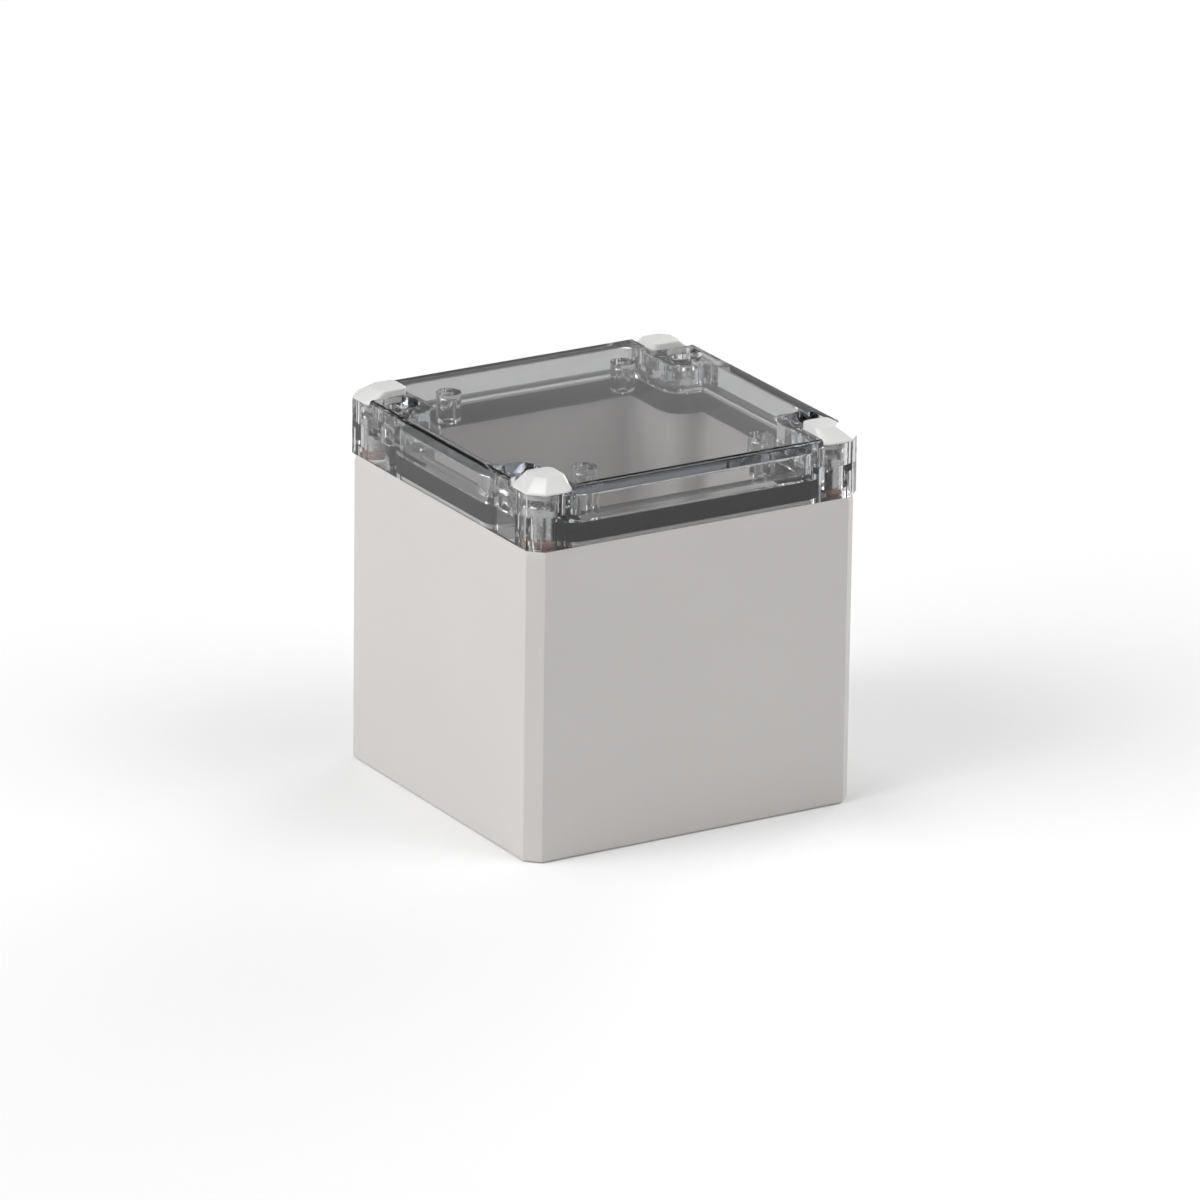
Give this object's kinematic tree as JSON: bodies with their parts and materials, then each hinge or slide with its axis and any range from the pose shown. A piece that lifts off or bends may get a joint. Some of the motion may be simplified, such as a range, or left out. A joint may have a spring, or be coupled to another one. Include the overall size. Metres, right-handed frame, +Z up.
{
  "type": "electronics enclosure",
  "caption": "Small deep grey polycarbonate box with a clear screw-down lid on a black seal and white corner caps, for housing a circuit board on a wall.",
  "frame": {"origin": "centre of the underside of the base", "axes": "+Z up out of the lid, +X along the longer side"},
  "size_m": [0.082, 0.08, 0.0853],
  "materials": {
    "base_grey": "fine satin",
    "lid_clear": "polished clear",
    "seal_black": "matt",
    "cap_white": "satin",
    "screw_steel": "bright",
    "ring_fibre": "matt",
    "insert_brass": "turned"
  },
  "bodies": {
    "housing": {"base": "base_grey", "corner_insert_front_left": "insert_brass", "corner_insert_front_right": "insert_brass", "corner_insert_back_left": "insert_brass", "corner_insert_back_right": "insert_brass", "board_insert_front_left": "insert_brass", "board_insert_front_right": "insert_brass", "board_insert_back_left": "insert_brass", "board_insert_back_right": "insert_brass"},
    "cover": {"lid": "lid_clear", "lid_gasket": "seal_black"},
    "screw_front_left": {"lid_screw_front_left": "screw_steel", "screw_ring_front_left": "ring_fibre"},
    "cap_front_left": {"corner_cap_front_left": "cap_white"},
    "screw_front_right": {"lid_screw_front_right": "screw_steel", "screw_ring_front_right": "ring_fibre"},
    "cap_front_right": {"corner_cap_front_right": "cap_white"},
    "screw_back_left": {"lid_screw_back_left": "screw_steel", "screw_ring_back_left": "ring_fibre"},
    "cap_back_left": {"corner_cap_back_left": "cap_white"},
    "screw_back_right": {"lid_screw_back_right": "screw_steel", "screw_ring_back_right": "ring_fibre"},
    "cap_back_right": {"corner_cap_back_right": "cap_white"}
  },
  "joints": [
    {"name": "lid_lift", "type": "slide", "parent": "housing", "child": "cover", "axis": [0, 0, 1], "range_m": [0, 0.04]},
    {"name": "screw_turn_front_left", "type": "hinge", "parent": "cover", "child": "screw_front_left", "pos_m": [-0.0355, -0.034, 0.077], "axis": [0, 0, 1], "continuous": true},
    {"name": "cap_lift_front_left", "type": "slide", "parent": "cover", "child": "cap_front_left", "axis": [0, 0, 1], "range_m": [0, 0.012]},
    {"name": "screw_turn_front_right", "type": "hinge", "parent": "cover", "child": "screw_front_right", "pos_m": [0.0355, -0.034, 0.077], "axis": [0, 0, 1], "continuous": true},
    {"name": "cap_lift_front_right", "type": "slide", "parent": "cover", "child": "cap_front_right", "axis": [0, 0, 1], "range_m": [0, 0.012]},
    {"name": "screw_turn_back_left", "type": "hinge", "parent": "cover", "child": "screw_back_left", "pos_m": [-0.0355, 0.034, 0.077], "axis": [0, 0, 1], "continuous": true},
    {"name": "cap_lift_back_left", "type": "slide", "parent": "cover", "child": "cap_back_left", "axis": [0, 0, 1], "range_m": [0, 0.012]},
    {"name": "screw_turn_back_right", "type": "hinge", "parent": "cover", "child": "screw_back_right", "pos_m": [0.0355, 0.034, 0.077], "axis": [0, 0, 1], "continuous": true},
    {"name": "cap_lift_back_right", "type": "slide", "parent": "cover", "child": "cap_back_right", "axis": [0, 0, 1], "range_m": [0, 0.012]}
  ]
}
